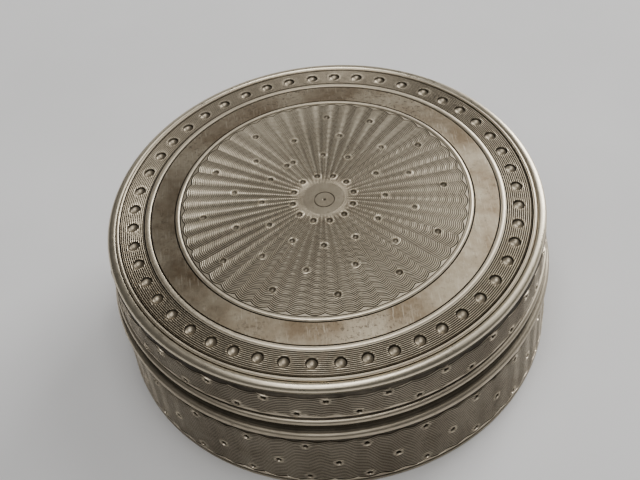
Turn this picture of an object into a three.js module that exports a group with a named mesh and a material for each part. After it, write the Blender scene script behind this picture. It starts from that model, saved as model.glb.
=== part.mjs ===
// Round engine-turned silver pill box with a lift-off lid.
//
// Millimetres, +Z up. The origin is the centre of the underside, where the foot rim stands on the
// table. Every piece is turned about the Z axis, as a silversmith makes it from sheet and drawn wire,
// and the pieces are stacked with a hairline seam between them.

import * as THREE from 'three';

// ---------------------------------------------------------------- driving dimensions

const SEGMENTS = 64; // flats round every turned piece, the same on all so that they nest

// Overall
const BASE_RADIUS = 24.7; // outside of the base's side wall
const BASE_HEIGHT = 8.95; // table to the top edge of the base's side wall
const LID_HEIGHT = 7.95; // lower edge of the lid to the top of its dome
const LID_INSET = 0.3; // how far the lid's wall stands in from the base's wall

// Sheet and fits
const WALL_SHEET = 0.7; // side walls of lid and base
const COLLAR_SHEET = 0.6; // inner collar
const FLOOR_SHEET = 0.7; // floor of the base
const TOP_SHEET = 0.7; // engine-turned top of the lid
const SEAM = 0.03; // soldered seam between neighbouring pieces
const SLIP = 0.1; // radial clearance of the lid on the collar
const REST_GAP = 0.24; // shadow line between the lid and the shoulder it sits on

// Base
const FOOT_HEIGHT = 0.4; // foot rim
const FOOT_WIDTH = 1.8; // foot rim, from outside to inside
const FOOT_ROUND = 0.25; // rounding of its outer lower edge
const SHOULDER_HEIGHT = 2.02; // shoulder moulding, bead and cove together
const BEAD_RADIUS = 0.5; // round bead that runs along the shoulder
const BEAD_STAND_OUT = 0.3; // how far it stands out from the base's wall
const COVE_WIDTH = 0.4; // hollow between bead and ledge, measured along the radius
const COLLAR_RISE = 3.3; // collar above the shoulder
const COLLAR_TAIL = 2.0; // collar below the shoulder, inside the base

// Lid
const LID_WIRE_RADIUS = 0.4; // half-round wire along the lid's lower edge
const LID_WIRE_STAND_OUT = 0.28; // how far it stands out from the lid's wall
const RIM_HEIGHT = 1.0; // rounded rim that joins the top to the wall
const RIM_WIDTH = 0.98; // the same rim, along the radius
const RIM_ROUND = 0.6; // rounding of its upper edge
const RIM_FALL = 0.03; // how much lower its crown is than the edge of the top
const DISC_RADIUS = 16.6; // engine-turned disc in the middle of the top
const DOME_RISE = 0.83; // rise of that disc
const BORDER_FALL = 0.82; // fall of the border round it

// Raised rings turned on the top: distance in from the edge of the top, and width
const RING_HEIGHT = 0.1;
const RINGS = [
  { inset: 0.1, width: 0.24 },
  { inset: 3.45, width: 0.47 },
  { inset: 6.93, width: 0.35 },
];

// ---------------------------------------------------------------- derived sizes

const baseInside = BASE_RADIUS - WALL_SHEET;
const floorBottom = FOOT_HEIGHT + SEAM;
const floorTop = floorBottom + FLOOR_SHEET;

const shoulderBottom = BASE_HEIGHT + SEAM;
const shoulderTop = shoulderBottom + SHOULDER_HEIGHT;

const lidRadius = BASE_RADIUS - LID_INSET;
const lidInside = lidRadius - WALL_SHEET;
const lidBottom = shoulderTop + REST_GAP;
const lidTop = lidBottom + LID_HEIGHT;
const lidWallBottom = lidBottom + 2 * LID_WIRE_RADIUS + SEAM;

const plateRadius = lidRadius - RIM_WIDTH - SEAM;
const plateEdge = lidTop - DOME_RISE - BORDER_FALL;
const rimTop = plateEdge - RIM_FALL;
const rimBottom = rimTop - RIM_HEIGHT;

const collarOutside = lidInside - SLIP;
const collarInside = collarOutside - COLLAR_SHEET;

// ---------------------------------------------------------------- materials

const silver = (color, roughness) =>
  new THREE.MeshStandardMaterial({ color, roughness, metalness: 1 });

const ENGRAVED = silver(0xb3ada0, 0.42);
const POLISHED = silver(0xc9c4b8, 0.22);
const TARNISHED = silver(0x9a8f7c, 0.38);

// ---------------------------------------------------------------- shapes

// Points of an arc in the (radius, height) plane, angles in degrees from straight out.
function arc(centreRadius, centreHeight, radius, from, to, steps = 6) {
  const points = [];
  for (let i = 0; i <= steps; i += 1) {
    const angle = THREE.MathUtils.degToRad(from + ((to - from) * i) / steps);
    points.push([centreRadius + radius * Math.cos(angle), centreHeight + radius * Math.sin(angle)]);
  }
  return points;
}

// One turned piece. Its outline runs anticlockwise in the (radius, height) plane; a ring's outline
// closes on itself and a plate's starts and ends on the axis.
function turned(name, outline, material) {
  const onAxis = outline[0][0] === 0;
  const points = (onAxis ? outline : [...outline, outline[0]]).map(([r, z]) => new THREE.Vector2(r, z));
  const geometry = new THREE.LatheGeometry(points, SEGMENTS);
  geometry.rotateX(Math.PI / 2);
  const mesh = new THREE.Mesh(geometry, material);
  mesh.name = name;
  return mesh;
}

// A plain strip of sheet bent into a hoop.
function hoop(name, inside, outside, bottom, top, material) {
  const outline = [
    [inside, bottom],
    [outside, bottom],
    [outside, top],
    [inside, top],
  ];
  return turned(name, outline, material);
}

// ---------------------------------------------------------------- base

function footRim() {
  const inside = BASE_RADIUS - FOOT_WIDTH;
  const outline = [
    [inside, 0],
    ...arc(BASE_RADIUS - FOOT_ROUND, FOOT_ROUND, FOOT_ROUND, -90, 0, 3),
    [BASE_RADIUS, FOOT_HEIGHT],
    [inside, FOOT_HEIGHT],
  ];
  return turned('base_foot_rim', outline, POLISHED);
}

function floorPlate() {
  const radius = baseInside - SEAM;
  const outline = [
    [0, floorBottom],
    [radius, floorBottom],
    [radius, floorTop],
    [0, floorTop],
  ];
  return turned('base_floor_plate', outline, TARNISHED);
}

function baseWall() {
  return hoop('base_side_wall', baseInside, BASE_RADIUS, FOOT_HEIGHT + SEAM, BASE_HEIGHT, ENGRAVED);
}

function shoulderMoulding() {
  const inside = collarOutside + SEAM;
  const beadCentre = BASE_RADIUS + BEAD_STAND_OUT - BEAD_RADIUS;
  const beadMiddle = shoulderBottom + BEAD_RADIUS;
  const coveHeight = shoulderTop - beadMiddle - BEAD_RADIUS;
  const hollow = [];
  for (let i = 1; i <= 4; i += 1) {
    const angle = (i / 4) * (Math.PI / 2);
    hollow.push([
      beadCentre - COVE_WIDTH * Math.sin(angle),
      shoulderTop - coveHeight * Math.cos(angle),
    ]);
  }
  const outline = [
    [inside, shoulderBottom],
    ...arc(beadCentre, beadMiddle, BEAD_RADIUS, -90, 90, 8),
    ...hollow,
    [inside, shoulderTop],
  ];
  return turned('base_shoulder_moulding', outline, POLISHED);
}

function collar() {
  const bottom = shoulderBottom - COLLAR_TAIL;
  const top = shoulderTop + COLLAR_RISE;
  const lead = COLLAR_SHEET / 2;
  const outline = [
    [collarInside, bottom],
    [collarOutside, bottom],
    [collarOutside, top - lead],
    [collarOutside - lead, top],
    [collarInside, top],
  ];
  return turned('base_collar', outline, POLISHED);
}

// ---------------------------------------------------------------- lid

function lidWire() {
  const centre = lidRadius + LID_WIRE_STAND_OUT - LID_WIRE_RADIUS;
  const middle = lidBottom + LID_WIRE_RADIUS;
  const outline = [
    [lidInside, lidBottom],
    ...arc(centre, middle, LID_WIRE_RADIUS, -90, 90, 8),
    [lidInside, lidBottom + 2 * LID_WIRE_RADIUS],
  ];
  return turned('lid_edge_wire', outline, POLISHED);
}

function lidWall() {
  return hoop('lid_side_wall', lidInside, lidRadius, lidWallBottom, rimBottom - SEAM, ENGRAVED);
}

function lidRim() {
  const inside = lidRadius - RIM_WIDTH;
  const outline = [
    [inside, rimBottom],
    [lidRadius, rimBottom],
    ...arc(lidRadius - RIM_ROUND, rimTop - RIM_ROUND, RIM_ROUND, 0, 90, 5),
    [inside, rimTop],
  ];
  return turned('lid_rim', outline, POLISHED);
}

// Height of the plain lid top at a radius: a shallow dome, then an almost flat border.
function topHeight(radius) {
  if (radius < DISC_RADIUS) {
    return lidTop - DOME_RISE * (radius / DISC_RADIUS) ** 2;
  }
  const across = (radius - DISC_RADIUS) / (plateRadius - DISC_RADIUS);
  return lidTop - DOME_RISE - BORDER_FALL * across;
}

// A low raised ring, as the four points of its section from outside to inside.
function ringSection({ inset, width }) {
  const outer = plateRadius - inset;
  const inner = outer - width;
  const flank = RING_HEIGHT / 2;
  return [
    [outer, topHeight(outer)],
    [outer - flank, topHeight(outer - flank) + RING_HEIGHT],
    [inner + flank, topHeight(inner + flank) + RING_HEIGHT],
    [inner, topHeight(inner)],
  ];
}

function topPlate() {
  const underside = [0, 0.5, 1].map((share) => {
    const radius = share * plateRadius;
    return [radius, topHeight(radius) - TOP_SHEET];
  });
  const dome = [0.8, 0.6, 0.4, 0.2, 0].map((share) => {
    const radius = share * DISC_RADIUS;
    return [radius, topHeight(radius)];
  });
  const outline = [
    ...underside,
    [plateRadius, topHeight(plateRadius)],
    ...RINGS.flatMap(ringSection),
    ...dome,
  ];
  return turned('lid_top_plate', outline, ENGRAVED);
}

// ---------------------------------------------------------------- assembly

const base = new THREE.Group();
base.name = 'base';
base.add(footRim(), floorPlate(), baseWall(), shoulderMoulding(), collar());

const lid = new THREE.Group();
lid.name = 'lid';
lid.add(lidWire(), lidWall(), lidRim(), topPlate());

const pillBox = new THREE.Group();
pillBox.name = 'pill_box';
pillBox.add(base, lid);

export default pillBox;
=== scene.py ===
import math

import bpy
import numpy as np
from mathutils import Matrix, Vector


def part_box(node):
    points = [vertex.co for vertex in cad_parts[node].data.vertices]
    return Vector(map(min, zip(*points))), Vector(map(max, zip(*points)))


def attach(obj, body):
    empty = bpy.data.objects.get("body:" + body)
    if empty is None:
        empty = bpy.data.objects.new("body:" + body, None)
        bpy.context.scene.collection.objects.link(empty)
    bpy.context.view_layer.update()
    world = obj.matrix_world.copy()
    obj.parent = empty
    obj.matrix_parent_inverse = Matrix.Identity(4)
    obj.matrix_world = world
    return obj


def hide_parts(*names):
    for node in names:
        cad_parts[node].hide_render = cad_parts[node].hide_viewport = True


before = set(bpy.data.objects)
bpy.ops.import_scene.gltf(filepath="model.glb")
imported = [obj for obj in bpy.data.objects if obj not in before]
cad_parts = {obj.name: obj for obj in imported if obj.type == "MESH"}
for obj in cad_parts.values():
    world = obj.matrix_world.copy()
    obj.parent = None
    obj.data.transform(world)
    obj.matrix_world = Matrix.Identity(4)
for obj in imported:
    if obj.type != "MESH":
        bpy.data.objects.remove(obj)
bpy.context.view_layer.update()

# Lengths below are millimetres, and become metres as a mesh is made. Angles run anticlockwise from
# +X, seen from above, in degrees. The box stands on z = 0 and the viewer is at -Y.

MM = 0.001


def corner(node):
    """Lowest height, highest height and outer radius of a CAD node, in millimetres."""
    low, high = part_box(node)
    return low.z / MM, high.z / MM, high.x / MM


# ---------------------------------------------------------------- sizes taken from the frame

_, LID_TOP, TOP_RADIUS = corner("lid_top_plate")
RIM_BOTTOM, RIM_TOP, LID_RADIUS = corner("lid_rim")
LID_WALL_BOTTOM, LID_WALL_TOP, _ = corner("lid_side_wall")
WIRE_BOTTOM, WIRE_TOP, WIRE_RADIUS = corner("lid_edge_wire")
SHOULDER_BOTTOM, SHOULDER_TOP, BEAD_REACH = corner("base_shoulder_moulding")
BASE_WALL_BOTTOM, BASE_WALL_TOP, BASE_RADIUS = corner("base_side_wall")
COLLAR_BOTTOM, COLLAR_TOP, COLLAR_RADIUS = corner("base_collar")
FLOOR_BOTTOM, FLOOR_TOP, FLOOR_RADIUS = corner("base_floor_plate")
_, FOOT_TOP, FOOT_RADIUS = corner("base_foot_rim")

# ---------------------------------------------------------------- sheet and mouldings

WALL_SHEET = 0.7
TOP_SHEET = 0.7
COLLAR_SHEET = 0.6
FOOT_WIDTH = 1.8
DISC_RADIUS = 16.6  # where the dome meets the border
DOME_RISE = 0.83
BORDER_FALL = 0.82
BEAD_RADIUS = 0.5
COVE_WIDTH = 0.4
WIRE_ROUND = 0.4

# ---------------------------------------------------------------- engine turning

LID_RAYS = 48
BASE_RAYS = 60
LINE_PITCH = 0.221  # lines of the top
LINE_DEPTH = 0.07
WALL_PITCH = 0.305  # lines of the side walls
WALL_DEPTH = 0.105
RAY_SWING = 0.33  # how far a line of the top swings in and out
WALL_SWING = 0.26  # and a line of the lid's wall up and down
BASE_SWING = 0.31  # and a line of the base's wall
RAY_PHASE = 2.42  # angle of one inward cusp of the top
LID_WALL_PHASE = 0.3
BASE_WALL_PHASE = 0.0
SUNBURST_START = 2.2
SUNBURST_EDGE = 15.9  # outermost reach of the scalloped edge
GROOVE_DEPTH = 0.22  # turned grooves beside the raised rings
RIM_EDGE = 16.86  # lower edge of the rounded rim
CREST = -0.025  # the uncut edges of the engraved zones stand a little proud
STRIP_SINK = 0.1  # plain strips of the side walls lie this far inside the engraved zone

# Raised rings of the top, inner and outer radius, and their height above the plain surface
RINGS = ((16.11, 16.46), (19.47, 19.94), (23.05, 23.29))
RING_HEIGHT = 0.1
TOP_GROOVES = (15.98, 16.6, 19.35, 20.12, 22.9)  # radii of the turned grooves
FINE_BAND = (20.19, 22.83)  # inner and outer radius of the fine lines

# Punched dots of the sunburst: radius, pit radius, angles
DOT_ROWS = (
    (3.43, 0.36, [6 + 30 * k for k in range(12)]),
    (6.82, 0.32, [60.5 if k == 1 else 24.9 + 30 * k for k in range(12)] + [121.9]),
    (10.15, 0.31, [14.1 + 30 * k for k in range(12)]),
    (13.4, 0.39, [83.0 if k == 3 else 0.9 + 30 * k for k in range(12)]),
)
BORDER_CUPS = 48
BORDER_CUP_RADIUS = 0.68
BORDER_CUP_RING = 21.4
BORDER_CUP_PHASE = 6.2
BORDER_CUP_DEPTH = 0.4
CENTRE_MARK = (0.1, -0.26)  # middle of the turned ring at the centre
CENTRE_RING = 1.1

# Heights of the lines on the rim and the side walls
RIM_LINES = (16.6, 16.75)
LID_LINES_TOP, LID_LINES_END, LID_LINES_BOTTOM = 16.04, 12.62, 12.55
LID_STRAIGHT_LINES = (16.2, 16.36, 12.2, 12.36)
BASE_LINES_TOP, BASE_LINES_END = 8.2, 0.98
BASE_STRAIGHT_LINES = (8.62, 8.78)
EDGE_LINE = 0.12  # height taken by the bright line along a scalloped edge

# Punched dots of the side walls: each row's height and the angle of its first dot
WALL_DOTS = 24
LID_DOT_ROWS = ((15.44, 9.4), (13.19, 2.0))
BASE_DOT_ROWS = ((7.6, 3.0), (1.75, 3.0), (4.4, 10.6))
WALL_DOT_RADIUS, WALL_DOT_DEPTH = 0.32, 0.26

# Burrs round the punched dots: radius of the crest, width and height
WALL_BURR = (0.42, 0.12, 0.11)
SUNBURST_BURR = (0.42, 0.1, 0.045)


def smooth_noise(angle, seed, waves=(2, 3, 5, 7)):
    """A smooth, repeatable wobble round the turn, about -1 to 1, for hand-worked edges."""
    total = np.zeros_like(angle)
    for n, count in enumerate(waves):
        total += np.sin(count * angle + 1.7 * seed + 2.3 * n) / (n + 1)
    return total / 2


def plain_top(radius):
    """Height of the lid's top without any engraving."""
    radius = np.asarray(radius, float)
    dome = DOME_RISE * (np.minimum(radius, DISC_RADIUS) / DISC_RADIUS) ** 2
    across = np.clip((radius - DISC_RADIUS) / (TOP_RADIUS - DISC_RADIUS), 0, 1)
    return LID_TOP - dome - BORDER_FALL * across


def cusped(angle, phase, rays):
    """0 at each cusp, 1 at the middle of each lobe between two cusps. Angles in degrees."""
    return np.abs(np.sin(np.radians((angle - phase) * rays / 2)))


def zigzag(angle, phase, rays):
    """A zigzag with rounded corners: 1 at phase and 0 half a ray away."""
    return 0.5 + np.arcsin(0.95 * np.cos(np.radians((angle - phase) * rays))) / 2.51


# ---------------------------------------------------------------- meshes


def turned(name, radius, height, angle):
    """A closed body turned round Z, from (row, column) arrays of radius and height.

    Rows run anticlockwise round the section. If the first and last rows have radius 0 the body
    closes on the axis there, and otherwise the last row joins the first.
    """
    columns = radius.shape[1]
    turn = np.radians(angle)
    solid = bool(np.all(radius[0] == 0))
    body = slice(1, -1) if solid else slice(None)
    r, z = radius[body], height[body]
    points = np.stack([r * np.cos(turn), r * np.sin(turn), z], -1).reshape(-1, 3)
    count = len(r)
    last = count - 1 if solid else count
    i = np.arange(last)[:, None]
    j = np.arange(columns)[None, :]
    below, above = i * columns, ((i + 1) % count) * columns
    across = (j + 1) % columns
    corners = [below + j, below + across, above + across, above + j]
    faces = np.stack(corners, -1).reshape(-1, 4).tolist()
    if solid:
        start, end = len(points), len(points) + 1
        points = np.vstack([points, [0, 0, height[0, 0]], [0, 0, height[-1, 0]]])
        top = (count - 1) * columns
        faces += [(start, (k + 1) % columns, k) for k in range(columns)]
        faces += [(end, top + k, top + (k + 1) % columns) for k in range(columns)]
    return add_piece(name, points, faces)


def add_piece(name, points, faces):
    """A new object from points in millimetres."""
    mesh = bpy.data.meshes.new(name)
    mesh.from_pydata((np.asarray(points, float) * MM).tolist(), [], faces)
    mesh.update()
    piece = bpy.data.objects.new(name, mesh)
    bpy.context.scene.collection.objects.link(piece)
    return piece


def angles(columns):
    return np.arange(columns) * 360 / columns


def rows_of(points, columns):
    """(row, column) radius and height arrays of a plain outline of (radius, height) points."""
    pairs = np.array(points, float)
    flat = np.ones(columns)
    return pairs[:, :1] * flat, pairs[:, 1:] * flat


def arc(centre_radius, centre_height, radius, start, end, steps):
    """Points of an arc in the (radius, height) plane, angles in degrees from straight out."""
    turn = np.radians(np.linspace(start, end, steps + 1))
    return list(zip(centre_radius + radius * np.cos(turn), centre_height + radius * np.sin(turn)))


def vertices(piece):
    """Vertex places of a piece, in millimetres."""
    flat = np.empty(len(piece.data.vertices) * 3, np.float32)
    piece.data.vertices.foreach_get("co", flat)
    return flat.reshape(-1, 3).astype(float) / MM


def move_vertices(piece, points):
    piece.data.vertices.foreach_set("co", (points * MM).astype(np.float32).ravel())
    piece.data.update()


def store(piece, name, values):
    """Keeps one number per vertex for the materials to read."""
    layer = piece.data.attributes.new(name, "FLOAT", "POINT")
    layer.data.foreach_set("value", np.asarray(values, np.float32))


def pit_cutter(place, outward, radius, depth, segments=18, rings=4):
    """Points and faces of a lens that leaves a round pit, centred on place, in millimetres."""
    ball = (radius**2 + depth**2) / (2 * depth)
    half = math.asin(min(1.0, radius / ball))
    clear = 0.15
    points, faces = [(0, 0, -depth)], []
    turns = [2 * math.pi * k / segments for k in range(segments)]
    for n in range(1, rings + 1):
        tilt = half * n / rings
        reach, level = ball * math.sin(tilt), ball - depth - ball * math.cos(tilt)
        points += [(reach * math.cos(t), reach * math.sin(t), level) for t in turns]
    flare = radius + 0.3 * clear
    points += [(flare * math.cos(t), flare * math.sin(t), clear) for t in turns]
    points.append((0, 0, clear))
    lid = 1 + rings * segments
    for k in range(segments):
        after = (k + 1) % segments
        faces.append((0, 1 + after, 1 + k))
        faces.append((lid + k, lid + after, len(points) - 1))
        for n in range(rings):
            low, high = 1 + n * segments, 1 + (n + 1) * segments
            faces.append((low + k, low + after, high + after, high + k))
    turn = Vector((0, 0, 1)).rotation_difference(Vector(outward)).to_matrix()
    moved = [Vector(place) + turn @ Vector(p) for p in points]
    return [tuple(p) for p in moved], faces


def cut(piece, cutters):
    """Cuts a list of (points, faces) bodies, which don't touch each other, out of a piece."""
    points, faces = [], []
    for body, sides in cutters:
        start = len(points)
        points += body
        faces += [tuple(start + v for v in side) for side in sides]
    tool = add_piece("cutters", points, faces)
    boolean = piece.modifiers.new("cuts", "BOOLEAN")
    boolean.operation = "DIFFERENCE"
    boolean.solver = "MANIFOLD"
    boolean.object = tool
    graph = bpy.context.evaluated_depsgraph_get()
    piece.data = bpy.data.meshes.new_from_object(piece.evaluated_get(graph))
    piece.modifiers.clear()
    bpy.data.objects.remove(tool)


def complete(piece, body, node, material, crease=24):
    """Smooth faces with sharp creases, then the piece's body, CAD node, slot and material."""
    piece.data.shade_smooth()
    piece.data.set_sharp_from_angle(angle=math.radians(crease))
    piece.data.materials.clear()
    piece.data.materials.append(material)
    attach(piece, body)
    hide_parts(node)
    return piece


# ---------------------------------------------------------------- the lid's top


def top_point(radius, angle):
    """A point of the plain top and the direction straight out of the surface there."""
    step = 0.05
    slope = (plain_top(radius + step) - plain_top(radius - step)) / (2 * step)
    turn = math.radians(angle)
    place = (radius * math.cos(turn), radius * math.sin(turn), float(plain_top(radius)))
    return place, (-slope * math.cos(turn), -slope * math.sin(turn), 1.0)


def raise_burrs(piece, places, radius, width, height):
    """Lifts the metal a little round each pit, as the punch leaves it."""
    points = vertices(piece)
    lift = np.zeros(len(points))
    for place, outward in places:
        away = np.linalg.norm(points - np.array(place), axis=1)
        lift = np.maximum(lift, height * np.exp(-(((away - radius) / width) ** 2)))
    outward = np.zeros_like(points)
    outward[:, 2] = 1
    on_a_wall = abs(places[0][1][2]) < 0.5
    if on_a_wall:
        turn = np.hypot(points[:, 0], points[:, 1])[:, None]
        outward = np.hstack([points[:, :2] / turn, np.zeros((len(points), 1))])
    move_vertices(piece, points + outward * lift[:, None])


def sunburst():
    """The engine-turned disc: wavy lines whose cusps line up into rays, a scalloped edge and dots."""
    columns = 9 * LID_RAYS
    angle = RAY_PHASE + angles(columns)
    lobe = cusped(angle, RAY_PHASE, LID_RAYS)
    flat = np.ones(columns)
    radius, height = [], []

    def row(r, drop):
        radius.append(r * flat)
        height.append(plain_top(r * flat) - drop)

    for r in (0.0, 4.0, 10.0, TOP_GROOVES[0]):
        row(r, TOP_SHEET)
    row(TOP_GROOVES[0], GROOVE_DEPTH)
    row(SUNBURST_EDGE + 0.03, 0.0)
    edge = SUNBURST_EDGE - RAY_SWING * (1 - lobe)
    row(edge, 0.0)
    row(edge - 0.08, 2 * LINE_DEPTH)
    lines = int((SUNBURST_EDGE - SUNBURST_START - 0.2) / LINE_PITCH)
    for k in range(lines):
        out = SUNBURST_EDGE - 0.15 - k * LINE_PITCH
        swing = RAY_SWING * min(1.0, (out / 7.5)) ** 0.8
        fade = min(1.0, (out - SUNBURST_START) / 2 + 0.08)
        wave = out - swing * (1 - lobe)
        uneven = smooth_noise(np.radians(angle), k, (13, 29, 47))
        row(wave, 0.004 * uneven)
        row(wave - 0.3 * LINE_PITCH, 0.006 * uneven)
        row(wave - (0.65 + 0.04 * uneven) * LINE_PITCH, LINE_DEPTH * fade * (1 + 0.2 * uneven))
    inner = float(radius[-1].min()) - 0.06
    for k in range(10):
        row(inner - 0.1 * k, 0.006 * (k % 2))
    for r in (0.75, 0.5, 0.25, 0.0):
        row(r, 0.0)
    piece = turned("lid_top_sunburst", np.array(radius), np.array(height), angle)

    dots = [(top_point(r, a), size) for r, size, turns in DOT_ROWS for a in turns]
    raise_burrs(piece, [place for place, _ in dots], *SUNBURST_BURR)
    cutters = [pit_cutter(*place, size, 0.75 * size) for place, size in dots]
    cutters += centre_mark()
    cut(piece, cutters)
    store_top_depth(piece, [(place, size, 0.045) for (place, _), size in dots])
    store_tarnish(piece)
    return piece


def centre_mark():
    """Cutters for the small turned ring and pip at the middle of the top."""
    x, y = CENTRE_MARK
    level = float(plain_top(0.3))
    ring, wire, sides, steps = CENTRE_RING, 0.075, 10, 48
    points, faces = [], []
    for i in range(steps):
        turn = 2 * math.pi * i / steps
        for j in range(sides):
            tilt = 2 * math.pi * j / sides
            reach = ring + wire * math.cos(tilt)
            place = (x + reach * math.cos(turn), y + reach * math.sin(turn))
            points.append((*place, level + wire * math.sin(tilt)))
            faces.append(
                (
                    i * sides + j,
                    (i + 1) % steps * sides + j,
                    (i + 1) % steps * sides + (j + 1) % sides,
                    i * sides + (j + 1) % sides,
                )
            )
    return [(points, faces), pit_cutter((x, y, level), (0, 0, 1), 0.2, 0.1)]


def ridge(inner, outer):
    """Section of a raised ring, from outside to inside, as (radius, height over the plain top)."""
    soft = 0.06
    return [
        (outer, 0.0),
        (outer - soft, 0.7 * RING_HEIGHT),
        (outer - 2.2 * soft, RING_HEIGHT),
        (inner + 2.2 * soft, RING_HEIGHT),
        (inner + soft, 0.7 * RING_HEIGHT),
        (inner, 0.0),
    ]


def groove(centre, half=0.085):
    return [(centre + half, 0.0), (centre, -GROOVE_DEPTH), (centre - half, 0.0)]


def border():
    """Everything of the top outside the sunburst: rings, plain band, fine lines and cups."""
    columns = 12 * LID_RAYS
    angle = angles(columns)
    first, second, third = RINGS
    low, high = FINE_BAND
    section = [(TOP_RADIUS, -0.12), (TOP_RADIUS - 0.04, 0.0)]
    section += ridge(*third) + groove(TOP_GROOVES[4])
    lines = round((high - low) / LINE_PITCH)
    pitch = (high - low) / lines
    for k in range(lines):
        start = high - k * pitch
        section += [(start - 0.4 * pitch, -1.2 * LINE_DEPTH), (start - 0.8 * pitch, 0.0)]
        section += [(start - pitch, 0.0)]
    section += groove(TOP_GROOVES[3])[1:] + ridge(*second) + groove(TOP_GROOVES[2])
    section += [(r, 0.0) for r in np.linspace(19.1, 16.85, 8)]
    section += groove(TOP_GROOVES[1]) + ridge(*first) + [(16.04, 0.0), (TOP_GROOVES[0], -GROOVE_DEPTH)]
    under = [(r, -TOP_SHEET) for r in (TOP_GROOVES[0], 19.5, TOP_RADIUS)]
    radius, lift = rows_of(under + section, columns)
    height = plain_top(radius) + lift
    piece = turned("lid_top_border", radius, height, angle)
    turns = [BORDER_CUP_PHASE + k * 360 / BORDER_CUPS for k in range(BORDER_CUPS)]
    wander = smooth_noise(np.radians(np.array(turns)), 3, (7, 11, 17))
    places = [top_point(BORDER_CUP_RING + 0.06 * w, a + 0.5 * w) for a, w in zip(turns, wander)]
    raise_burrs(piece, places, BORDER_CUP_RADIUS + 0.08, 0.09, 0.04)
    cut(piece, [pit_cutter(*place, BORDER_CUP_RADIUS, BORDER_CUP_DEPTH, 28, 6) for place in places])
    store_top_depth(piece, [(place, BORDER_CUP_RADIUS - 0.08, 0.02) for place, _ in places])
    store_tarnish(piece)
    return piece


def lid_rim():
    """The rounded rim over a shallow sunk strip with two fine turned lines."""
    inside, sunk = LID_RADIUS - 0.98, LID_RADIUS - STRIP_SINK
    points = [(inside, RIM_BOTTOM), (sunk, RIM_BOTTOM)]
    for level in RIM_LINES:
        points += [(sunk, level - 0.04), (sunk - 0.06, level), (sunk, level + 0.04)]
    points += [(sunk, RIM_EDGE), (LID_RADIUS - 0.04, RIM_EDGE)]
    reach, rise = 0.7, RIM_TOP - RIM_EDGE
    for turn in np.radians(np.linspace(14, 90, 14)):
        across = LID_RADIUS - reach + reach * math.cos(turn)
        points.append((across, RIM_EDGE + rise * math.sin(turn)))
    points += [(inside + 0.12, RIM_TOP - 0.01), (inside, RIM_TOP - 0.12)]
    angle = angles(360)
    radius, height = rows_of(points, 360)
    outside = np.clip((radius - inside) / 0.98, 0, 1)
    return turned("lid_rim", radius + 0.02 * smooth_noise(np.radians(angle), 1) * outside, height, angle)


# ---------------------------------------------------------------- the side walls


def wall(name, outside, bottom, top, angle, lines, straight, dots):
    """An engine-turned hoop.

    lines are the engraved rows from top to bottom, each (height per column, depth). Above and
    below them the hoop is sunk a little, with plain turned lines at the straight heights. dots
    are (height, angle) of the punched dots.
    """
    flat = np.ones(len(angle))
    upper, lower = lines[0][0].max(), lines[-1][0].min()
    outer = [(bottom * flat, STRIP_SINK)]
    for level in sorted(s for s in straight if s < lower):
        outer += notch(level * flat)
    outer += [(lines[-1][0] - 0.02, STRIP_SINK)] + lines[::-1] + [(lines[0][0] + 0.02, STRIP_SINK)]
    for level in sorted(s for s in straight if s > upper):
        outer += notch(level * flat)
    outer += [(top * flat, STRIP_SINK)]
    inside = outside - WALL_SHEET
    radius = [inside * flat, inside * flat] + [outside - depth * flat for _, depth in outer]
    height = [top * flat, bottom * flat] + [level for level, _ in outer]
    piece = turned(name, np.array(radius), np.array(height), angle)
    places = []
    for level, turn in dots:
        a = math.radians(turn)
        out = (math.cos(a), math.sin(a), 0.0)
        places.append(((outside * out[0], outside * out[1], level), out))
    raise_burrs(piece, places, *WALL_BURR)
    cut(piece, [pit_cutter(*place, WALL_DOT_RADIUS, WALL_DOT_DEPTH) for place in places])
    return piece


def notch(level, half=0.045, depth=0.06):
    return [(level - half, STRIP_SINK), (level, STRIP_SINK + depth), (level + half, STRIP_SINK)]


def line_rows(start, pitch, count, depth):
    """Rows of count V-grooves with narrow flat crests, downwards from the start height."""
    rows = []
    for k in range(count):
        top = start - k * pitch
        rows += [(top - 0.39 * pitch, depth), (top - 0.78 * pitch, 0.0), (top - pitch, 0.0)]
    return rows


def dots_round(rows):
    """(height, angle) of every dot, from (height, angle of the first dot) rows."""
    return [(z, first + 360 / WALL_DOTS * k) for z, first in rows for k in range(WALL_DOTS)]


def lid_wall():
    angle = LID_WALL_PHASE + angles(12 * LID_RAYS)
    arch = cusped(angle, LID_WALL_PHASE, LID_RAYS)
    upper = LID_LINES_TOP - WALL_SWING * arch
    lower = LID_LINES_END + WALL_SWING * arch
    start = upper - EDGE_LINE
    lines = [(upper, 0.02), (upper - 0.05, CREST), (start, 0.0)]
    for k, (level, depth) in enumerate(line_rows(start, WALL_PITCH, 12, WALL_DEPTH)):
        lines.append((np.maximum(level, lower + EDGE_LINE + 0.004 * (36 - k)), depth))
    lines += [(lower + 0.08, WALL_DEPTH), (lower, 0.0), (0.5 * (lower + LID_LINES_BOTTOM), CREST)]
    lines += [(LID_LINES_BOTTOM * np.ones_like(lower), 0.0)]
    dots = dots_round(LID_DOT_ROWS)
    return wall(
        "lid_side_wall",
        LID_RADIUS,
        LID_WALL_BOTTOM,
        LID_WALL_TOP,
        angle,
        lines,
        LID_STRAIGHT_LINES,
        dots,
    )


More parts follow.
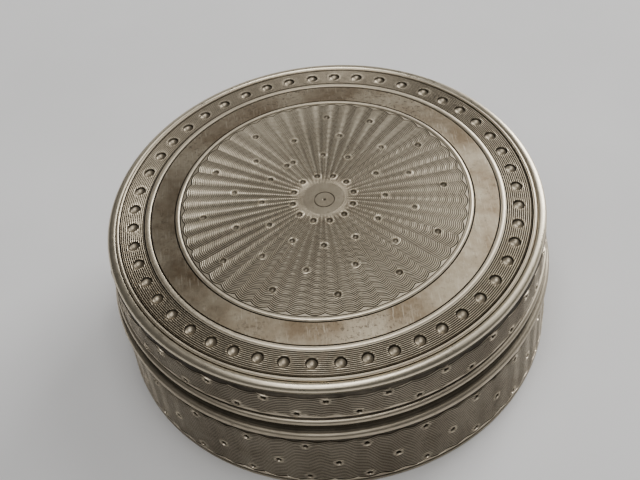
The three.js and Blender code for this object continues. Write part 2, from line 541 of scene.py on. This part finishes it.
def base_wall():
    angle = BASE_WALL_PHASE + angles(10 * BASE_RAYS)
    wave = zigzag(angle, BASE_WALL_PHASE, BASE_RAYS) * BASE_SWING
    upper, lower = BASE_LINES_TOP + wave, BASE_LINES_END + wave
    span = (BASE_LINES_TOP - EDGE_LINE) - (BASE_LINES_END + EDGE_LINE)
    count = round(span / WALL_PITCH)
    lines = [(upper, 0.02), (upper - 0.05, CREST), (upper - EDGE_LINE, 0.0)]
    lines += line_rows(upper - EDGE_LINE, span / count, count, WALL_DEPTH)
    lines += [(lower, 2 * WALL_DEPTH), (lower - 0.12, 2 * WALL_DEPTH), (lower - 0.2, 0.0)]
    lines += [(0.5 * (lower + 0.52), CREST), (0.7 * np.ones_like(lower), 0.0)]
    dots = dots_round(BASE_DOT_ROWS)
    return wall(
        "base_side_wall",
        BASE_RADIUS,
        BASE_WALL_BOTTOM,
        BASE_WALL_TOP,
        angle,
        lines,
        BASE_STRAIGHT_LINES,
        dots,
    )


# ---------------------------------------------------------------- plain turned pieces

PLAIN_COLUMNS = 360


def plain(name, points, wobble=0.0, seed=0):
    radius, height = rows_of(points, PLAIN_COLUMNS)
    angle = angles(PLAIN_COLUMNS)
    if wobble:
        radius = radius + wobble * smooth_noise(np.radians(angle), seed)
    return turned(name, radius, height, angle)


def edge_wire():
    inside = LID_RADIUS - WALL_SHEET
    centre = WIRE_RADIUS - WIRE_ROUND
    middle = (WIRE_BOTTOM + WIRE_TOP) / 2
    points = [(inside, WIRE_BOTTOM)] + arc(centre, middle, WIRE_ROUND, -90, 90, 16) + [(inside, WIRE_TOP)]
    return plain("lid_edge_wire", points, 0.012, 2)


def shoulder():
    inside = COLLAR_RADIUS + 0.03
    centre = BEAD_REACH - BEAD_RADIUS
    middle = SHOULDER_BOTTOM + BEAD_RADIUS
    rise = SHOULDER_TOP - middle - BEAD_RADIUS
    hollow = []
    for turn in np.radians(np.linspace(9, 90, 10)):
        hollow.append((centre - COVE_WIDTH * math.sin(turn), SHOULDER_TOP - rise * math.cos(turn)))
    points = [(inside, SHOULDER_BOTTOM)] + arc(centre, middle, BEAD_RADIUS, -90, 90, 22) + hollow
    return plain("base_shoulder_moulding", points + [(inside, SHOULDER_TOP)], 0.012, 4)


def foot():
    inside, soft = FOOT_RADIUS - FOOT_WIDTH, 0.2
    points = [(inside, 0.0)] + arc(FOOT_RADIUS - soft, soft, soft, -90, 0, 6)
    points += [(FOOT_RADIUS, FOOT_TOP - 0.04), (FOOT_RADIUS - 0.04, FOOT_TOP), (inside, FOOT_TOP)]
    return plain("base_foot_rim", points)


def floor_plate():
    points = [(0, FLOOR_BOTTOM)] + [(r, FLOOR_BOTTOM) for r in (6, 14, 20, FLOOR_RADIUS)]
    points += [(r, FLOOR_TOP) for r in (FLOOR_RADIUS, 20, 14, 6)] + [(0, FLOOR_TOP)]
    return plain("base_floor_plate", points)


def collar():
    inside, soft = COLLAR_RADIUS - COLLAR_SHEET, 0.12
    points = [(inside, COLLAR_BOTTOM), (COLLAR_RADIUS, COLLAR_BOTTOM)]
    points += arc(COLLAR_RADIUS - soft, COLLAR_TOP - soft, soft, 0, 90, 5)
    points += arc(inside + soft, COLLAR_TOP - soft, soft, 90, 180, 5)
    return plain("base_collar", points)


# ---------------------------------------------------------------- how deep each cut lies, and painted shade on the shoulder


def store_top_depth(piece, pits):
    """Depth of each vertex under the plain top, in millimetres, with none on the plain underside.

    The floors of the pits are smooth and hold little grime, so they count as shallow. pits are
    (place, radius, how deep they count).
    """
    points = vertices(piece)
    drop = plain_top(np.hypot(points[:, 0], points[:, 1])) - points[:, 2]
    for place, radius, most in pits:
        inside = np.linalg.norm(points - np.array(place), axis=1) < radius
        drop[inside] = np.minimum(drop[inside], most)
    store(piece, "depth", np.where(drop > 0.5, 0.0, np.clip(drop, -0.2, 0.5)))


def store_tarnish(piece):
    """1 on the plain band of the top, which has tarnished most, and less on the fine lines and centre."""
    reach = np.hypot(*vertices(piece)[:, :2].T)
    band = (reach > TOP_GROOVES[1] + 0.05) & (reach < TOP_GROOVES[2] - 0.05)
    centre = 0.55 * np.clip((4.6 - reach) / 1.6, 0, 1)
    store(piece, "tarnish", np.where(band, 1.0, np.where(reach > TOP_GROOVES[3], 0.4, centre)))


def store_wall_depth(piece, outside, top=math.inf):
    """Depth of each vertex inside a wall's outer surface, in millimetres.

    The inner face and everything above the top height have none.
    """
    points = vertices(piece)
    drop = outside - np.hypot(points[:, 0], points[:, 1])
    plain = (drop > 0.5) | (points[:, 2] > top)
    store(piece, "depth", np.where(plain, 0.0, np.clip(drop, -0.2, 0.5)))


def store_shoulder_shade(piece):
    """Paints shade on the ledge and cove over the bead, under the lid's edge: they count as deep, so the
    silver's patina colour darkens them.
    """
    crown = SHOULDER_BOTTOM + 2 * BEAD_RADIUS
    # the higher over the bead, the darker: painted shade between lid and base
    store(piece, "depth", np.clip((vertices(piece)[:, 2] - crown + 0.12) * 0.4, 0, 0.5))


# ---------------------------------------------------------------- silver


class Shader:
    """A small helper to build one procedural material."""

    def __init__(self, name):
        self.material = bpy.data.materials.new(name)
        self.material.use_nodes = True
        self.nodes = self.material.node_tree.nodes
        self.links = self.material.node_tree.links
        self.surface = self.nodes["Principled BSDF"]
        self.place = self.nodes.new("ShaderNodeTexCoord").outputs["Object"]

    def put(self, socket, value):
        if isinstance(value, bpy.types.NodeSocket):
            self.links.new(value, socket)
        else:
            socket.default_value = value

    def stretched(self, scale, turn=(0, 0, 0)):
        """Object coordinates turned and then scaled, per metre."""
        node = self.nodes.new("ShaderNodeMapping")
        node.vector_type = "POINT"
        self.links.new(self.place, node.inputs["Vector"])
        node.inputs["Rotation"].default_value = turn
        node.inputs["Scale"].default_value = scale
        return node.outputs["Vector"]

    def noise(self, scale, detail=3.0, rough=0.55, vector=None):
        node = self.nodes.new("ShaderNodeTexNoise")
        self.links.new(vector or self.place, node.inputs["Vector"])
        node.inputs["Scale"].default_value = scale
        node.inputs["Detail"].default_value = detail
        node.inputs["Roughness"].default_value = rough
        return node.outputs["Fac"]

    def ramp(self, value, low, high, start=0.0, end=1.0):
        """Value from low..high to start..end, clamped."""
        node = self.nodes.new("ShaderNodeMapRange")
        self.put(node.inputs["Value"], value)
        for name, number in (("From Min", low), ("From Max", high), ("To Min", start), ("To Max", end)):
            node.inputs[name].default_value = number
        return node.outputs["Result"]

    def maths(self, operation, first, second=0.0):
        node = self.nodes.new("ShaderNodeMath")
        node.operation = operation
        self.put(node.inputs[0], first)
        self.put(node.inputs[1], second)
        return node.outputs[0]

    def mix(self, share, first, second):
        node = self.nodes.new("ShaderNodeMix")
        node.data_type = "RGBA"
        self.put(node.inputs[0], share)
        self.put(node.inputs[6], first)
        self.put(node.inputs[7], second)
        return node.outputs[2]

    def attribute(self, name):
        node = self.nodes.new("ShaderNodeAttribute")
        node.attribute_name = name
        return node.outputs["Fac"]

    def scratches(self, turns, fineness, low, high):
        """Fine straight scratches, one set for each turn about Z, as 0 to 1."""
        total = None
        for k, turn in enumerate(turns):
            along = self.stretched((fineness, fineness / 14, fineness), (0, 0, math.radians(turn)))
            line = self.ramp(self.noise(1.0, 1.0, 0.4, along), low, high)
            patch = self.ramp(self.noise(230 + 60 * k, 2.0), 0.48, 0.6)
            line = self.maths("MULTIPLY", line, patch)
            total = line if total is None else self.maths("MAXIMUM", total, line)
        return total

    def bump(self, height, strength, distance):
        node = self.nodes.new("ShaderNodeBump")
        node.inputs["Strength"].default_value = strength
        node.inputs["Distance"].default_value = distance
        self.links.new(height, node.inputs["Height"])
        self.links.new(node.outputs["Normal"], self.surface.inputs["Normal"])


def silver(name, clean, dull, patina, rough, tarnish, scratch=0.5):
    """Aged silver: dark patina in the cuts, duller tarnish in soft patches, and fine scratches. The same
    dark patina mix is painted shade on the shoulder's ledge. Proud crests and burrs get a colour lighter
    than clean silver, partly rubbed wear and partly painted highlight.
    """
    shade = Shader(name)
    depth = shade.attribute("depth")
    soft = shade.noise(160, 5.0, 0.6)
    fine = shade.noise(1500, 4.0, 0.6)
    patch = shade.ramp(soft, 0.42, 0.62)
    speckle = shade.ramp(fine, 0.58, 0.72)
    worn = shade.scratches((12, 67, 118, 161), 7000, 0.66, 0.76)

    cloudy = shade.maths("MULTIPLY", patch, tarnish)
    metal = shade.mix(cloudy, (*clean, 1), (*dull, 1))
    metal = shade.mix(shade.attribute("tarnish"), metal, stain_colour(shade))
    metal = shade.mix(shade.maths("MULTIPLY", speckle, 0.35 * tarnish + 0.1), metal, (*patina, 1))
    # Patina in the cuts; on the shoulder's ledge the same mask is painted shade under the lid's edge.
    cuts = shade.maths("MULTIPLY", shade.ramp(depth, 0.003, 0.06), shade.ramp(soft, 0.3, 0.7, 0.8, 0.97))
    cuts = shade.maths("MAXIMUM", cuts, shade.ramp(depth, 0.08, 0.16))
    metal = shade.mix(cuts, metal, (*patina, 1))
    metal = shade.mix(shade.maths("MULTIPLY", worn, 0.35 * scratch), metal, (*clean, 1))
    # Proud crests and burrs: a colour lighter than clean silver, partly rubbed wear and partly painted
    # highlight.
    wear_and_highlight = [min(1.0, 1.35 * part) for part in clean]
    metal = shade.mix(shade.ramp(depth, -0.005, -0.06), metal, (*wear_and_highlight, 1))
    shade.links.new(metal, shade.surface.inputs["Base Color"])

    gloss = shade.ramp(fine, 0.3, 0.7, rough - 0.05, rough + 0.05)
    gloss = shade.maths("ADD", gloss, shade.maths("MULTIPLY", cuts, 0.15))
    gloss = shade.maths("ADD", gloss, shade.maths("MULTIPLY", cloudy, 0.1))
    shade.links.new(gloss, shade.surface.inputs["Roughness"])
    shade.surface.inputs["Metallic"].default_value = 1.0

    relief = shade.maths("ADD", shade.maths("MULTIPLY", fine, 0.4), shade.noise(420, 2.0))
    relief = shade.maths("SUBTRACT", relief, shade.maths("MULTIPLY", worn, 0.6 * scratch))
    shade.bump(relief, 0.35, 0.00003)
    return shade.material


def stain_colour(shade):
    """Brown and grey tarnish of the plain band, with dark specks and lighter rubbed streaks."""
    broad = shade.ramp(shade.noise(170, 5.0, 0.65), 0.38, 0.6)
    stain = shade.mix(broad, (0.24, 0.18, 0.115, 1), (0.43, 0.365, 0.265, 1))
    patch = shade.ramp(shade.noise(75, 2.0), 0.45, 0.6, 0.15, 0.85)
    specks = shade.ramp(shade.noise(2300, 3.0, 0.7), 0.54, 0.64)
    stain = shade.mix(shade.maths("MULTIPLY", specks, patch), stain, (0.13, 0.1, 0.07, 1))
    rubbed = shade.scratches((33, 48, 140), 6000, 0.6, 0.74)
    return shade.mix(shade.maths("MULTIPLY", rubbed, 0.5), stain, (0.6, 0.53, 0.41, 1))


def linen(name):
    """Pale floor with a faint unevenness."""
    shade = Shader(name)
    cloth = shade.ramp(shade.noise(30, 3.0), 0.3, 0.7)
    colour = shade.mix(cloth, (0.78, 0.77, 0.76, 1), (0.84, 0.83, 0.82, 1))
    shade.links.new(colour, shade.surface.inputs["Base Color"])
    shade.surface.inputs["Roughness"].default_value = 0.9
    shade.surface.inputs["Specular IOR Level"].default_value = 0.1
    return shade.material


# ---------------------------------------------------------------- the object


def build_lid():
    """The lid's five pieces. Returns the two metals that the base shares."""
    turned_metal = silver(
        "turned silver", (0.6, 0.525, 0.4), (0.42, 0.36, 0.265), (0.03, 0.024, 0.016), 0.38, 0.6
    )
    # The walls' silver is darker than the top's: partly patina, partly painted shade of the walls.
    shaded_wall_metal = silver(
        "shaded wall silver", (0.54, 0.47, 0.36), (0.32, 0.265, 0.195), (0.02, 0.016, 0.012), 0.33, 0.6, 0.2
    )
    polished = silver(
        "polished silver", (0.68, 0.6, 0.455), (0.5, 0.43, 0.32), (0.06, 0.05, 0.035), 0.3, 0.3, 0.2
    )

    complete(sunburst(), "lid", "lid_top_plate", turned_metal)
    complete(border(), "lid", "lid_top_plate", turned_metal)
    rim = lid_rim()
    store_wall_depth(rim, LID_RADIUS, RIM_EDGE - 0.01)
    complete(rim, "lid", "lid_rim", polished, 40)
    hoop = lid_wall()
    store_wall_depth(hoop, LID_RADIUS)
    complete(hoop, "lid", "lid_side_wall", shaded_wall_metal)
    moulding_metal = silver(
        "moulding silver", (0.5, 0.435, 0.33), (0.34, 0.29, 0.22), (0.05, 0.042, 0.03), 0.37, 0.5, 0.2
    )
    complete(edge_wire(), "lid", "lid_edge_wire", moulding_metal, 40)
    return shaded_wall_metal, moulding_metal


def build_base(shaded_wall_metal, moulding_metal):
    """The base's five pieces."""
    inside = silver("plain silver", (0.6, 0.535, 0.425), (0.42, 0.365, 0.28), (0.05, 0.042, 0.03), 0.33, 0.6)
    moulding = shoulder()
    # painted shade on the ledge under the lid's edge
    store_shoulder_shade(moulding)
    complete(moulding, "base", "base_shoulder_moulding", moulding_metal, 40)
    hoop = base_wall()
    store_wall_depth(hoop, BASE_RADIUS)
    complete(hoop, "base", "base_side_wall", shaded_wall_metal)
    complete(foot(), "base", "base_foot_rim", moulding_metal, 40)
    complete(floor_plate(), "base", "base_floor_plate", inside, 40)
    complete(collar(), "base", "base_collar", inside, 40)


# ---------------------------------------------------------------- floor, light and camera

LIGHT_DISTANCE = 0.55  # metres
LIGHT_AIM = 0.012  # height that the lights point at, in metres


def floor():
    mesh = bpy.data.meshes.new("table_cloth")
    reach = 0.6
    below = -0.00002  # a hair under the foot, so that the two don't share a plane
    corners = [(x * reach, y * reach, below) for x, y in ((-1, -1), (1, -1), (1, 1), (-1, 1))]
    mesh.from_pydata(corners, [], [(0, 1, 2, 3)])
    cloth = bpy.data.objects.new("table_cloth", mesh)
    bpy.context.scene.collection.objects.link(cloth)
    mesh.materials.append(linen("pale cloth"))


def area_light(name, elevation, azimuth, size, power):
    """A soft square light LIGHT_DISTANCE from the box, azimuth anticlockwise from +X."""
    tilt, turn = math.radians(elevation), math.radians(azimuth)
    out = Vector((math.cos(tilt) * math.cos(turn), math.cos(tilt) * math.sin(turn), math.sin(tilt)))
    lamp = bpy.data.lights.new(name, "AREA")
    lamp.shape = "SQUARE"
    lamp.size = size
    lamp.energy = power
    holder = bpy.data.objects.new(name, lamp)
    holder.location = Vector((0, 0, LIGHT_AIM)) + LIGHT_DISTANCE * out
    holder.rotation_euler = (-out).to_track_quat("-Z", "Y").to_euler()
    bpy.context.scene.collection.objects.link(holder)


def light_studio():
    """A dim even room, a light overhead, a strong low one at the back right and four weaker ones.

    Directions and powers began as a fit to the photograph's brightness, then were set one by one.
    """
    world = bpy.data.worlds.new("room")
    world.use_nodes = True
    world.node_tree.nodes["Background"].inputs["Color"].default_value = (1, 1, 1, 1)
    world.node_tree.nodes["Background"].inputs["Strength"].default_value = 0.1
    bpy.context.scene.world = world
    area_light("overhead", 90, 0, 0.25, 1.1)
    area_light("low_window", 15, 45, 0.3, 3.0)
    area_light("window", 45, 45, 0.3, 0.6)
    area_light("right", 45, 0, 0.3, 0.2)
    area_light("back", 20, 100, 0.3, 0.15)
    area_light("front_left", 62, 250, 0.3, 0.6)


def place_camera():
    """Looks down at the lid from in front, tilted a little, with the apex above the middle.

    The angles, lens and distance come from a camera fitted to the photograph's rings, rays and cups.
    """
    elevation, roll = math.radians(48.42), math.radians(-7.2)
    away, right_shift, up_shift = 0.1418, 0.002485, 0.03285
    forward = Vector((0, math.cos(elevation), -math.sin(elevation)))
    level = Vector((1, 0, 0))
    upright = level.cross(forward)
    right = math.cos(roll) * level + math.sin(roll) * upright
    up = math.cos(roll) * upright - math.sin(roll) * level
    apex = Vector((0, 0, LID_TOP * MM))
    place = apex - away * (forward + right_shift * right + up_shift * up)
    data = bpy.data.cameras.new("camera")
    data.sensor_width = 36
    data.lens = 72.42
    data.clip_start = 0.01
    camera = bpy.data.objects.new("camera", data)
    turn = Matrix((right, up, -forward)).transposed().to_4x4()
    camera.matrix_world = Matrix.Translation(place) @ turn
    bpy.context.scene.collection.objects.link(camera)
    bpy.context.scene.camera = camera


build_base(*build_lid())
floor()
light_studio()
place_camera()
